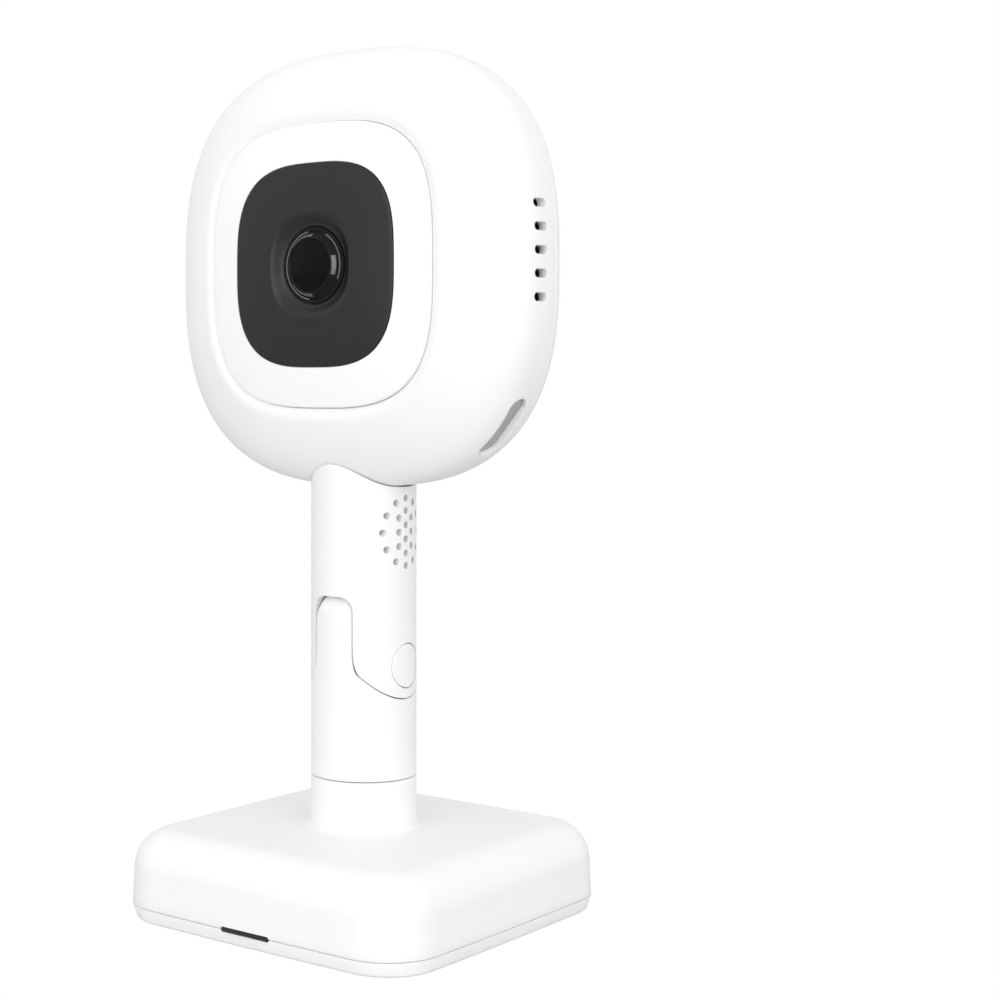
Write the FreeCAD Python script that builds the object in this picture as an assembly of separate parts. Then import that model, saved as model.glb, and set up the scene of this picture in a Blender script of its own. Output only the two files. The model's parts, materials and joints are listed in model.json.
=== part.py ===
import FreeCAD, Part
import math
import os

# Baby monitor camera: a square weighted base, a round two-part stem and a pebble-shaped head.
# Millimetres.  Origin: centre of the underside.  +Z up, the lens looks along -Y, +X is its left-hand side.

V = FreeCAD.Vector

# ---------------------------------------------------------------- driving dimensions

# gaps
SEAM = 0.3             # visible gap between shells
SLIP = 0.02            # axial play of a thrust face
WALL = 2.0             # moulded wall of base and stem

# base
BASE_HALF = 44.66      # centre to the middle of a side, at the parting seam
BASE_SIDE_RADIUS = 1560.0
BASE_CORNER = 14.2
BASE_TOP = 21.7
BASE_EDGE = 9.2        # rounding of the upper edge
BASE_SEAM_Z = 4.0
BASE_FOOT_IN = 1.1     # how much narrower the underside is
FOOT_PROUD = 0.5
DRAFT = math.radians(3.0)
PLATE_FLOOR = 2.5
SCREW_AT = 30.0        # base screws and feet, from the centre in X and Y
FOOT_R = 6.0
LIGHT_LONG = 14.6
LIGHT_TALL = 1.1
POWER_Z = 12.8         # centre of the power socket

# stem
STEM_R = 13.0
BORE_R = 11.0
COLLAR_FOOT = 1.8
COLLAR_TOP = 34.25     # pan seam
PAN_WEB = 3.0
SPINDLE_R = 7.0
SPINDLE_BORE = 4.5
FLANGE_SCREWS_R = 8.7
TILT_Z = 66.9          # height of the tilt axle
EAR_R = 12.8           # the ears end in an arc about the axle
TONGUE_HALF = 5.4      # the knuckle between the ears
TONGUE_TOP = 78.6
TONGUE_ROUND = 3.0
KNUCKLE_R = 15.6       # the knuckle stays inside this radius about the axle
AXLE_R = 2.5
AXLE_CAP_R = 3.6       # flush cap over the axle's head, in the right-hand ear
SWING_R = 15.9         # room inside the ears for the swinging knuckle
NECK_R = 9.5
NECK_BORE = 7.5
NECK_TOP = 122.0

# speaker
SPEAKER_Z = 94.4
HOLE_R = 0.875
HOLE_RING = 8.18
HOLE_STEP = 3.44
HOLE_SQUEEZE = 0.817   # the hole field is narrower across the stem than up it

# side button
BUTTON_Z = 61.85
BUTTON_Y = 0.7
BUTTON_Y_HALF = 5.2
BUTTON_Z_HALF = 5.3

# head
HEAD_Z = 158.8
HEAD_X_HALF = 53.6
HEAD_Z_HALF = 53.5
HEAD_POWER = 2.69      # squareness of the front outline
HEAD_Y = -2.06         # plane of the widest outline
HEAD_FRONT = 19.5      # from that plane to the foremost point
FRONT_PROFILE = 2.4    # squareness of the front's section
HEAD_REAR = 18.9       # from that plane to the back
REAR_PROFILE = 3.4
HEAD_WALL = 2.2
PARTING_Y = 4.0
FACE_X_HALF = 33.4
FACE_Z_HALF = 34.2
FACE_POWER = 3.15
FACE_SUNK = 0.5
ROLL_R = 5.0           # the housing rolls in towards the faceplate
ROLL_CREST = -17.75    # depth at which that roll begins
ROLL_END = 36          # how far the roll has turned where it meets the faceplate, in degrees
WINDOW_X_HALF = 24.1
WINDOW_Z_HALF = 24.4
WINDOW_POWER = 3.1
WINDOW_SUNK = 0.3
DISH_HALF = 12.0
LENS_Z = 158.7
LENS_RING_R = 9.35
LENS_NOSE_R = 6.45     # the lens ring narrows to this at its front rim
LENS_NOSE_Y = -21.1
GLASS_R = 6.0
GLASS_CURVE = 19.0     # radius of the lens's front face
GLASS_FRONT = -21.7
BOSS_X = 40.0          # head screws, from the head's centre
BOSS_Z = 23.0
VENT_Y = -2.55
VENT_LONG = 4.9
VENT_TALL = 2.0
VENT_STEP = 5.4
VENT_MIDDLE_Z = 161.05
VENTS = 5
GRILLE_ANGLE = -42.6   # corner grille, about the head's centre
GRILLE_LONG = 17.6
GRILLE_WIDE = 5.3
GRILLE_Y = -2.45

# ---------------------------------------------------------------- shape helpers


def box(x0, x1, y0, y1, z0, z1):
    return Part.makeBox(x1 - x0, y1 - y0, z1 - z0, V(x0, y0, z0))


def rod_x(radius, x0, x1, y=0.0, z=0.0):
    return Part.makeCylinder(radius, x1 - x0, V(x0, y, z), V(1, 0, 0))


def rod_y(radius, y0, y1, x=0.0, z=0.0):
    return Part.makeCylinder(radius, y1 - y0, V(x, y0, z), V(0, 1, 0))


def rod_z(radius, z0, z1, x=0.0, y=0.0):
    return Part.makeCylinder(radius, z1 - z0, V(x, y, z0), V(0, 0, 1))


def ring_z(outer, inner, z0, z1, x=0.0, y=0.0):
    return rod_z(outer, z0, z1, x, y).cut(rod_z(inner, z0, z1, x, y))


def ring_y(outer, inner, y0, y1, x=0.0, z=0.0):
    return rod_y(outer, y0, y1, x, z).cut(rod_y(inner, y0, y1, x, z))


def fuse(shapes):
    whole = shapes[0].multiFuse(shapes[1:])
    return whole.removeSplitter()


def ellipse_x(y_half, z_half, x0, x1, z):
    """An oval prism along X, its longer axis upright."""
    oval = Part.Ellipse(V(x0, 0, z + z_half), V(x0, y_half, z), V(x0, 0, z))
    return Part.Face(Part.Wire(oval.toShape())).extrude(V(x1 - x0, 0, 0))


def stadium(length, width, depth):
    """A round-ended bar: length along X, width along Y, extruded from z=0 to depth."""
    r = width / 2
    reach = length / 2 - r
    ends = [Part.makeCylinder(r, depth, V(side * reach, 0, 0)) for side in (-1, 1)]
    return fuse([box(-reach, reach, -r, r, 0, depth)] + ends)


def rounded_square(half, corner, z, side_radius=BASE_SIDE_RADIUS):
    """A closed wire of four very slightly bowed sides joined by tangent corner arcs."""
    back = side_radius - half                       # side arc's centre, beyond the middle
    reach = side_radius - corner
    c = (-back + math.sqrt(2 * reach ** 2 - back ** 2)) / 2
    ux, uy = c / reach, (c + back) / reach          # from the side's centre to the corner's
    tx, ty = c + corner * ux, c + corner * uy
    mid = c + corner * math.sqrt(0.5)
    edges = []
    for quarter in range(4):
        turn = FreeCAD.Rotation(V(0, 0, 1), -90 * quarter)
        points = [V(-tx, ty, z), V(0, half, z), V(tx, ty, z), V(mid, mid, z), V(ty, tx, z)]
        p = [turn.multVec(point) for point in points]
        edges.append(Part.Arc(p[0], p[1], p[2]).toShape())
        edges.append(Part.Arc(p[2], p[3], p[4]).toShape())
    return Part.Wire(edges)


def square_prism(half, corner, z0, z1, half_top=None):
    """The rounded square, straight or tapered, as a solid."""
    if half_top is None:
        half_top = half
    wires = [rounded_square(half, corner, z0), rounded_square(half_top, corner + half_top - half, z1)]
    return Part.makeLoft(wires, True, True)


def outline(x_half, z_half, power, y, z=HEAD_Z):
    """A superellipse across the head at depth y, as a smooth closed wire."""
    steps = 40
    points = []
    for i in range(steps):
        a = 2 * math.pi * i / steps
        c, s = math.cos(a), math.sin(a)
        px = x_half * math.copysign(abs(c) ** (2 / power), c)
        pz = z_half * math.copysign(abs(s) ** (2 / power), s)
        points.append(V(px, y, z + pz))
    curve = Part.BSplineCurve()
    curve.interpolate(Points=points, PeriodicFlag=True)
    return Part.Wire(curve.toShape())


def face_prism(x_half, z_half, power, y0=-30.0, y1=-8.0):
    wire = outline(x_half, z_half, power, y0)
    return Part.Face(wire).extrude(V(0, y1 - y0, 0))


PEBBLES = {}


def pebble(inset):
    """The head's outer form, drawn in by inset.  Made once for each inset."""
    if inset in PEBBLES:
        return PEBBLES[inset]
    sections = []
    for degrees in range(-84, 85, 12):
        a = math.radians(degrees)
        power = FRONT_PROFILE if a < 0 else REAR_PROFILE
        depth = (HEAD_FRONT if a < 0 else HEAD_REAR) - inset
        scale = math.cos(a) ** (2 / power)
        y = HEAD_Y + math.copysign(depth * abs(math.sin(a)) ** (2 / power), a)
        sections.append(outline((HEAD_X_HALF - inset) * scale, (HEAD_Z_HALF - inset) * scale, HEAD_POWER, y))
    PEBBLES[inset] = Part.makeLoft(sections, True, False)
    return PEBBLES[inset]


def face_area(grow, y1=-8.0):
    """The faceplate's outline grown all round, as a prism through the head's front."""
    return face_prism(FACE_X_HALF + grow, FACE_Z_HALF + grow, FACE_POWER, -30.0, y1)


def window_area(grow, y1=-8.0):
    return face_prism(WINDOW_X_HALF + grow, WINDOW_Z_HALF + grow, WINDOW_POWER, -30.0, y1)


def save(name, shape):
    shape.exportStep("parts/%s.step" % name)


def group(shapes):
    return Part.makeCompound(shapes)


# ---------------------------------------------------------------- base


def foot_places():
    return [(sx * SCREW_AT, sy * SCREW_AT) for sx in (-1, 1) for sy in (-1, 1)]


def light_slot(grow):
    """The bar-shaped space of the status light, through the front wall at the seam."""
    bar = stadium(LIGHT_LONG + 2 * grow, LIGHT_TALL + 2 * grow, 8.0)
    bar.rotate(V(0, 0, 0), V(1, 0, 0), 90)
    bar.translate(V(0, -38.0, BASE_SEAM_Z))
    return bar


def power_slot(width, height, y0, y1):
    slot = stadium(width, height, y1 - y0)
    slot.rotate(V(0, 0, 0), V(1, 0, 0), -90)
    slot.translate(V(0, y0, POWER_Z))
    return slot


def base_housing():
    low = BASE_SEAM_Z + SEAM / 2
    drawn_in = (BASE_TOP - low) * math.tan(DRAFT)
    outer = square_prism(BASE_HALF, BASE_CORNER, low, BASE_TOP, BASE_HALF - drawn_in)
    top_edges = [e for e in outer.Edges if e.BoundBox.ZMin > BASE_TOP - 0.01]
    outer = outer.makeFillet(BASE_EDGE, top_edges)
    inner = square_prism(BASE_HALF - WALL, BASE_CORNER - WALL, low, BASE_TOP - WALL,
                         BASE_HALF - WALL - drawn_in)
    inner_top = [e for e in inner.Edges if e.BoundBox.ZMin > BASE_TOP - WALL - 0.01]
    inner = inner.makeFillet(BASE_EDGE - WALL, inner_top)
    collar = rod_z(STEM_R, BASE_TOP - WALL, COLLAR_TOP)
    flare = rod_z(STEM_R + COLLAR_FOOT, BASE_TOP - 0.5, BASE_TOP + COLLAR_FOOT)
    torus = Part.makeTorus(STEM_R + COLLAR_FOOT, COLLAR_FOOT, V(0, 0, BASE_TOP + COLLAR_FOOT))
    flare = flare.cut(torus)
    bosses = [rod_z(3.6, 4.8, BASE_TOP - WALL + 0.5, x, y) for x, y in foot_places()]
    shell = fuse([outer.cut(inner), collar, flare] + bosses)
    web_low = COLLAR_TOP - PAN_WEB
    shell = shell.cut(rod_z(STEM_R - 2.2, BASE_TOP - WALL - 1, web_low))
    shell = shell.cut(rod_z(SPINDLE_R + 0.05, web_low - 1, COLLAR_TOP + 1))
    shell = shell.cut(rod_z(11.6, COLLAR_TOP - 0.8, COLLAR_TOP + 1))
    for x, y in foot_places():
        shell = shell.cut(rod_z(1.25, 4.0, 16.0, x, y))
    shell = shell.cut(light_slot(0.1))
    shell = shell.cut(power_slot(9.7, 4.0, 38.0, 48.0))
    return shell


def bottom_plate():
    high = BASE_SEAM_Z - SEAM / 2
    foot_half = BASE_HALF - BASE_FOOT_IN
    plate = square_prism(foot_half, BASE_CORNER - BASE_FOOT_IN, FOOT_PROUD, high, BASE_HALF)
    low_edges = [e for e in plate.Edges if e.BoundBox.ZMax < FOOT_PROUD + 0.01]
    plate = plate.makeFillet(0.8, low_edges)
    plate = plate.cut(square_prism(BASE_HALF - 4.2, 10.0, PLATE_FLOOR, high + 1))
    lip_half = BASE_HALF - WALL - 0.2
    lip = square_prism(lip_half, 12.0, PLATE_FLOOR, 6.0)
    lip = lip.cut(square_prism(lip_half - 1.5, 10.5, PLATE_FLOOR - 1, 7.0))
    posts = [rod_z(4.6, PLATE_FLOOR - 0.5, 4.7, x, y) for x, y in foot_places()]
    stakes = [rod_z(1.4, PLATE_FLOOR - 0.5, 9.0, x, 0) for x in (-30, 30)]
    standoffs = [rod_z(2.2, PLATE_FLOOR - 0.5, 10.6, x, 38.0) for x in (-20, 20)]
    plate = fuse([plate, lip] + posts + stakes + standoffs)
    for x, y in foot_places():
        plate = plate.cut(rod_z(FOOT_R + 0.1, 0.0, 1.2, x, y))
        plate = plate.cut(rod_z(3.0, 0.0, 2.9, x, y))
        plate = plate.cut(rod_z(1.7, 0.0, 6.0, x, y))
    return plate.cut(light_slot(0.1))


def rubber_feet():
    feet = []
    for x, y in foot_places():
        foot = rod_z(FOOT_R, 0.0, 1.15, x, y)
        feet.append(foot.makeFillet(0.3, [e for e in foot.Edges if e.BoundBox.ZMax < 0.01]))
    return group(feet)


def base_screws():
    return group([fuse([rod_z(2.8, 1.25, 2.85, x, y), rod_z(1.24, 2.8, 14.5, x, y)])
                  for x, y in foot_places()])


def ballast_plate():
    slab = fuse([box(-35, 35, -24, 24, 2.6, 7.6), box(-24, 24, -35, 35, 2.6, 7.6)])
    for x in (-30, 30):
        slab = slab.cut(rod_z(1.6, 2.0, 8.0, x, 0))
    return slab


def status_light_bar():
    bar = light_slot(-0.02)
    body = square_prism(BASE_HALF - 0.15, BASE_CORNER - 0.15, 2.0, 6.0)
    return bar.common(body).common(box(-10, 10, -46, -40.0, 2, 6))


def status_led():
    board = box(-6, 6, -37.2, -36.2, 2.7, 8.2)
    chip = box(-2.5, 2.5, -38.6, -37.2, 3.2, 4.8)
    return fuse([board, chip])


def power_board():
    board = box(-25, 25, 17, 41, 10.7, 11.1)
    board = board.cut(rod_z(1.3, 10, 12, -20, 38.0)).cut(rod_z(1.3, 10, 12, 20, 38.0))
    parts = [box(-20, -12, 22, 30, 11.1, 15.5), box(-6, 4, 20, 27, 11.1, 13.0)]
    parts += [rod_z(3.0, 11.1, 16.0, x, 25) for x in (12, 20)]
    return fuse([board] + parts)


def power_board_screws():
    return group([fuse([rod_z(2.2, 11.15, 12.5, x, 38.0), rod_z(1.0, 10.6, 11.2, x, 38.0)])
                  for x in (-20, 20)])


def power_socket():
    shell = power_slot(8.94, 3.26, 36.4, 43.6)
    shell = shell.cut(power_slot(8.34, 2.66, 37.2, 44.0))
    return shell


def power_socket_tongue():
    return box(-3.3, 3.3, 37.25, 42.6, POWER_Z - 0.35, POWER_Z + 0.35)


# ---------------------------------------------------------------- pan joint and lower stem


def pan_thrust_washer():
    return ring_z(11.5, SPINDLE_R + 0.1, COLLAR_TOP - 0.8, COLLAR_TOP + SEAM - SLIP)


def pan_friction_washer():
    top = COLLAR_TOP - PAN_WEB - SLIP
    return ring_z(10.3, SPINDLE_R + 0.05, top - 1.2, top)


def pan_spring_washer():
    """A wave washer: a thin ring that rises and falls three times round."""
    top = COLLAR_TOP - PAN_WEB - SLIP - 1.25
    ring = ring_z(10.0, SPINDLE_R + 0.2, top - 1.3, top)
    for k in range(3):
        angle = math.radians(120 * k)
        x, y = 8.6 * math.cos(angle), 8.6 * math.sin(angle)
        ring = ring.cut(Part.makeSphere(2.6, V(x, y, top + 1.9)))
        ring = ring.cut(Part.makeSphere(2.6, V(-x, -y, top - 3.2)))
    return ring


def pan_retaining_ring():
    top = COLLAR_TOP - PAN_WEB - 2.7
    ring = ring_z(9.4, SPINDLE_R - 0.7, top - 1.0, top)
    return ring.cut(box(-1.5, 1.5, 0, 12, top - 2, top + 1))


def flange_places():
    return [(FLANGE_SCREWS_R * math.cos(math.radians(a)), FLANGE_SCREWS_R * math.sin(math.radians(a)))
            for a in (90, 210, 330)]


def pan_spindle():
    low = COLLAR_TOP + SEAM
    flange = rod_z(BORE_R - 0.1, low, low + 3.0)
    tube = rod_z(SPINDLE_R, 26.0, low + 3.0)
    body = fuse([flange, tube]).cut(rod_z(SPINDLE_BORE, 25, low + 4))
    groove_top = COLLAR_TOP - PAN_WEB - 2.65
    body = body.cut(ring_z(SPINDLE_R + 1, SPINDLE_R - 0.75, groove_top - 1.1, groove_top))
    for x, y in flange_places():
        body = body.cut(rod_z(1.9, low - 1, low + 1.6, x, y))
        body = body.cut(rod_z(1.2, low, low + 4, x, y))
    return body


def pan_spindle_screws():
    low = COLLAR_TOP + SEAM
    return group([fuse([rod_z(1.75, low + 0.1, low + 1.55, x, y), rod_z(0.95, low + 1.5, 44.0, x, y)])
                  for x, y in flange_places()])


def ear_disc(radius, inner_x, rounding, side):
    """A disc about the tilt axle from inner_x outwards, its inner rim rounded."""
    disc = rod_x(radius, inner_x, STEM_R + 2, 0, TILT_Z)
    rim = [e for e in disc.Edges if e.BoundBox.XMax < inner_x + 0.01]
    disc = disc.makeFillet(rounding, rim)
    if side < 0:
        disc = disc.mirror(V(0, 0, 0), V(1, 0, 0))
    return disc


def lower_stem():
    low = COLLAR_TOP + SEAM
    column = rod_z(STEM_R, low, TONGUE_TOP)
    tongue = box(-TONGUE_HALF, TONGUE_HALF, -20, 20, TILT_Z - 10, TONGUE_TOP)
    top_corners = [e for e in tongue.Edges if e.BoundBox.ZMin > TONGUE_TOP - 0.01 and e.BoundBox.YLength > 1]
    tongue = tongue.makeFillet(TONGUE_ROUND, top_corners)
    cap = box(-20, 20, -STEM_R, STEM_R, TILT_Z - 10, TONGUE_TOP)
    cap_edges = [e for e in cap.Edges if e.BoundBox.ZMin > TONGUE_TOP - 0.01 and e.BoundBox.XLength > 1]
    cap = cap.makeFillet(TONGUE_ROUND, cap_edges)
    barrel = rod_x(KNUCKLE_R, -TONGUE_HALF, TONGUE_HALF, 0, TILT_Z)
    rims = [e for e in barrel.Edges if e.BoundBox.XLength < 0.01]
    tongue = tongue.common(cap).common(barrel.makeFillet(TONGUE_ROUND, rims))
    bottom = column.common(box(-20, 20, -20, 20, low, TILT_Z))
    for side in (-1, 1):
        bottom = bottom.cut(ear_disc(EAR_R + SEAM, TONGUE_HALF, 1.5, side))
    body = fuse([bottom, column.common(tongue)])
    hollow = rod_z(BORE_R, low - 1, 46.0)
    for x, y in flange_places():
        hollow = hollow.cut(rod_z(2.4, low + 3.0, 47.0, x, y))
    body = body.cut(hollow)
    for x, y in flange_places():
        body = body.cut(rod_z(0.95, low + 2, 44.5, x, y))
    body = body.cut(rod_x(AXLE_R + 0.05, -10, 10, 0, TILT_Z))
    body = body.cut(rod_z(2.4, 45, TONGUE_TOP + 1, 0, 6.4))
    for side in (-1, 1):
        recess = rod_x(6.1, TONGUE_HALF - 0.7, TONGUE_HALF + 1, 0, TILT_Z)
        if side < 0:
            recess = recess.mirror(V(0, 0, 0), V(1, 0, 0))
        body = body.cut(recess)
    return body


# ---------------------------------------------------------------- tilt joint and upper stem


def tilt_friction_washers():
    outer = TONGUE_HALF + SEAM
    washer = rod_x(6.0, TONGUE_HALF - 0.7 + SLIP, outer, 0, TILT_Z)
    washer = washer.cut(rod_x(AXLE_R + 0.1, 0, 10, 0, TILT_Z))
    return group([washer, washer.mirror(V(0, 0, 0), V(1, 0, 0))])


def tilt_axle():
    """Put in from the right-hand ear and screwed into the insert in the left-hand one."""
    head = rod_x(3.4, -9.6, -8.35, 0, TILT_Z)
    head = head.cut(rod_x(1.2, -10, -9.0, 0, TILT_Z))
    shank = rod_x(AXLE_R, -8.4, 6.5, 0, TILT_Z)
    tip = rod_x(1.5, 6.4, 8.5, 0, TILT_Z)
    return fuse([head, shank, tip])


def tilt_axle_insert():
    nut = rod_x(2.4, 6.6, 8.6, 0, TILT_Z)
    return nut.cut(rod_x(1.52, 6, 9, 0, TILT_Z))


def tilt_axle_cap():
    return rod_x(AXLE_CAP_R, -STEM_R, -9.9, 0, TILT_Z).common(rod_z(STEM_R, 60, 75))


def speaker_holes():
    """Places (y, z) of the sound holes: a packed hexagon of ten inside a ring of twelve."""
    column = HOLE_STEP * math.sqrt(0.75)
    places = [(0, k * HOLE_STEP / 2) for k in (-3, -1, 1, 3)]
    places += [(side * column, k * HOLE_STEP) for side in (-1, 1) for k in (-1, 0, 1)]
    for k in range(12):
        a = math.radians(30 * k)
        places.append((HOLE_RING * math.cos(a), HOLE_RING * math.sin(a)))
    return [(HOLE_SQUEEZE * y, SPEAKER_Z + z) for y, z in places]


def button_space(grow, x0, x1):
    space = ellipse_x(BUTTON_Y_HALF + grow, BUTTON_Z_HALF + grow, x0, x1, BUTTON_Z)
    return space.translated(V(0, BUTTON_Y, 0))


def upper_stem():
    gap = TONGUE_HALF + SEAM
    roof = TONGUE_TOP + SEAM
    slot = box(-gap, gap, -20, 20, TILT_Z - 20, roof)
    corners = [e for e in slot.Edges if e.BoundBox.ZMin > roof - 0.01 and e.BoundBox.YLength > 1]
    slot = slot.makeFillet(TONGUE_ROUND + SEAM, corners)
    column = rod_z(STEM_R, TILT_Z, NECK_TOP + 3).cut(pebble(-SEAM))
    ear_low = rod_z(STEM_R, TILT_Z - EAR_R - 1, TILT_Z)
    ears = [ear_low.common(ear_disc(EAR_R, gap, 1.5, side)) for side in (-1, 1)]
    neck = rod_z(NECK_R, 100.0, NECK_TOP)
    body = fuse([column.cut(slot), neck] + ears)
    swing = rod_x(SWING_R, -gap, gap, 0, TILT_Z).common(rod_z(BORE_R, TILT_Z - 20, TILT_Z + 20))
    body = body.cut(swing)
    body = body.cut(rod_z(BORE_R, 84.6, 104.5))
    body = body.cut(rod_z(NECK_BORE, 104.0, NECK_TOP + 1))
    body = body.cut(rod_z(2.6, 80.0, 86.0, 0, 6.0))
    clip = ring_z(NECK_R + 2, NECK_R - 0.6, 117.9, 120.6)
    body = body.cut(clip)
    for y, z in speaker_holes():
        body = body.cut(rod_x(HOLE_R, 6.0, STEM_R + 1, y, z))
    body = body.cut(rod_x(AXLE_R + 0.02, -9, 6.55, 0, TILT_Z))
    body = body.cut(rod_x(2.42, 6.5, 8.65, 0, TILT_Z))
    body = body.cut(rod_x(AXLE_CAP_R + 0.1, -STEM_R - 1, -8.3, 0, TILT_Z))
    body = body.cut(button_space(0.25, 9.0, STEM_R + 2))
    body = body.cut(button_space(0.7, 7.0, 11.2).cut(rod_x(3.5, 6, 9.2, 0, TILT_Z)))
    return body


def side_button():
    stem = rod_z(STEM_R, 50, 75)
    cap = button_space(0.0, 10.2, STEM_R + 1).common(stem)
    flange = button_space(0.5, 10.2, 11.0).common(box(10, 12, -9, 9, BUTTON_Z - 3, BUTTON_Z + 9))
    return fuse([cap, flange])


def button_board():
    board = button_space(0.4, 7.05, 7.75)
    return board.cut(rod_x(3.8, 6, 9, 0, TILT_Z))


def button_switch():
    case = box(7.75, 8.9, -1.8, 1.8, 57.2, 60.8)
    plunger = rod_x(0.9, 8.8, 9.3, 0, 59.0)
    return fuse([case, plunger])


def speaker_oval(y_half, z_half, x0, x1):
    return ellipse_x(y_half, z_half, x0, x1, SPEAKER_Z)


def speaker_frame():
    frame = speaker_oval(7.2, 9.4, 3.0, 7.0)
    return frame.cut(speaker_oval(6.2, 8.4, 3.8, 8.0)).cut(rod_x(4.0, 2, 5, 0, SPEAKER_Z))


def speaker_cone():
    cone = speaker_oval(6.1, 8.3, 6.0, 6.5)
    dome = Part.makeSphere(6.0, V(2.2, 0, SPEAKER_Z)).common(rod_x(3.5, 6.2, 9, 0, SPEAKER_Z))
    surround = rod_x(3.9, 3.9, 6.1, 0, SPEAKER_Z).cut(rod_x(3.5, 3, 6.0, 0, SPEAKER_Z))
    return fuse([cone, dome, surround])


def speaker_magnet():
    return rod_x(5.2, -0.6, 2.95, 0, SPEAKER_Z)


def speaker_mesh():
    sheet = ring_z(BORE_R - 0.05, BORE_R - 0.3, SPEAKER_Z - 9.6, SPEAKER_Z + 9.6)
    return sheet.common(box(5, 12, -7.8, 7.8, 80, 110))


# ---------------------------------------------------------------- head


def boss_places():
    return [(sx * BOSS_X, HEAD_Z + sz * BOSS_Z) for sx in (-1, 1) for sz in (-1, 1)]


def neck_hole():
    return rod_z(NECK_R + 0.2, 98, 123)


def vents():
    slots = []
    for k in range(VENTS):
        bar = stadium(VENT_LONG, VENT_TALL, 130)
        bar.rotate(V(0, 0, 0), V(0, 0, 1), 90)
        bar.rotate(V(0, 0, 0), V(0, 1, 0), 90)
        bar.translate(V(-65, VENT_Y, VENT_MIDDLE_Z + (k - VENTS // 2) * VENT_STEP))
        slots.append(bar)
    return slots


def grille_prism(grow):
    """The corner grille's outline, run outwards through the lower left-hand corner."""
    bar = stadium(GRILLE_LONG + 2 * grow, GRILLE_WIDE + 2 * grow, 26)
    bar.translate(V(0, 0, 44))
    bar.rotate(V(0, 0, 0), V(0, 1, 0), 90 - GRILLE_ANGLE)
    bar.translate(V(0, GRILLE_Y, HEAD_Z))
    return bar


def roll_in():
    """What is taken off the housing so that it rolls in to the faceplate."""
    turns = [math.radians(ROLL_END * step / 4) for step in range(5)]
    reach = 0.3 + ROLL_R * math.sin(turns[-1])
    ahead = face_area(reach, ROLL_CREST)
    wires = []
    for a in turns:
        grow = reach - ROLL_R * math.sin(a)
        y = ROLL_CREST + ROLL_R * (1 - math.cos(a))
        wires.append(outline(FACE_X_HALF + grow, FACE_Z_HALF + grow, FACE_POWER, y))
    return group([ahead, Part.makeLoft(wires, True, False)])


def head_front_housing():
    body = pebble(0).common(box(-60, 60, -30, PARTING_Y, 90, 230))
    body = body.cut(pebble(HEAD_WALL).cut(face_area(3.5)))
    body = body.cut(pebble(4.0))
    body = body.cut(face_area(0.3, -15.0).cut(pebble(2.4)))
    body = body.cut(face_area(-1.9))
    body = body.cut(roll_in())
    core = pebble(1.2)
    bosses = [rod_y(3.2, -16, PARTING_Y - 0.1, x, z).common(core) for x, z in boss_places()]
    posts = [rod_z(2.6, 104, 117.8, x, -3.0).common(core) for x in (-13, 13)]
    body = fuse([body] + bosses + posts)
    body = body.cut(neck_hole())
    body = body.cut(group(vents()))
    body = body.cut(grille_prism(0.2))
    for x, z in boss_places():
        body = body.cut(rod_y(1.05, -8, PARTING_Y + 1, x, z))
    for x in (-13, 13):
        body = body.cut(rod_z(0.95, 110, 119, x, -3.0))
    return body


def head_rear_cover():
    low = PARTING_Y + SEAM - 0.05
    body = pebble(0).common(box(-60, 60, low, 30, 90, 230)).cut(pebble(HEAD_WALL))
    rib = pebble(HEAD_WALL - 0.2).common(box(-60, 60, low, 7.0, 90, 230))
    lip = pebble(HEAD_WALL + 0.15).common(box(-60, 60, 2.8, low + 0.5, 90, 230))
    rim = fuse([rib, lip]).cut(pebble(HEAD_WALL + 1.2))
    rim = rim.cut(group([rod_y(3.5, 0, PARTING_Y, x, z) for x, z in boss_places()]))
    core = pebble(1.2)
    bosses = [rod_y(3.2, PARTING_Y + 0.25, 20, x, z).common(core) for x, z in boss_places()]
    body = fuse([body, rim] + bosses)
    body = body.cut(neck_hole())
    for x, z in boss_places():
        body = body.cut(rod_y(1.3, 0, 20, x, z))
        body = body.cut(rod_y(2.8, 7.6, 20, x, z))
    return body


def head_screws():
    return group([fuse([rod_y(2.6, 7.65, 9.2, x, z).cut(rod_y(0.9, 8.4, 10, x, z)),
                        rod_y(1.04, -6.0, 7.7, x, z)])
                  for x, z in boss_places()])


def faceplate():
    """A ring with a ledge behind its opening, on which the window rests."""
    body = pebble(FACE_SUNK).common(face_area(0))
    body = body.cut(pebble(2.3).cut(window_area(3.0)))
    body = body.cut(pebble(3.6))
    body = body.cut(window_area(0.2, -15.0).cut(pebble(2.3)))
    return body.cut(window_area(-1.5))


def lens_window():
    pane = pebble(WINDOW_SUNK).common(window_area(0)).cut(pebble(2.15))
    body = fuse([pane, rod_y(11.0, -19.6, -16.3, 0, LENS_Z)])
    dish = Part.makeLoft([outline(DISH_HALF + 1.0, DISH_HALF + 1.0, 2.6, -21.8, LENS_Z),
                          outline(DISH_HALF - 0.3, DISH_HALF - 0.3, 2.5, -20.6, LENS_Z),
                          outline(DISH_HALF - 1.6, DISH_HALF - 1.6, 2.2, -19.8, LENS_Z),
                          outline(LENS_RING_R + 0.2, LENS_RING_R + 0.2, 2.0, -19.4, LENS_Z)], True, False)
    body = body.cut(dish)
    return body.cut(rod_y(LENS_RING_R + 0.1, -22, -15, 0, LENS_Z))


def lens_ring():
    ring = rod_y(LENS_RING_R, -19.6, -16.3, 0, LENS_Z)
    nose = Part.makeCone(LENS_NOSE_R, 8.7, 1.6, V(0, LENS_NOSE_Y, LENS_Z), V(0, 1, 0))
    return ring.fuse(nose).cut(rod_y(GLASS_R + 0.1, LENS_NOSE_Y - 1, -15, 0, LENS_Z))


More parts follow.
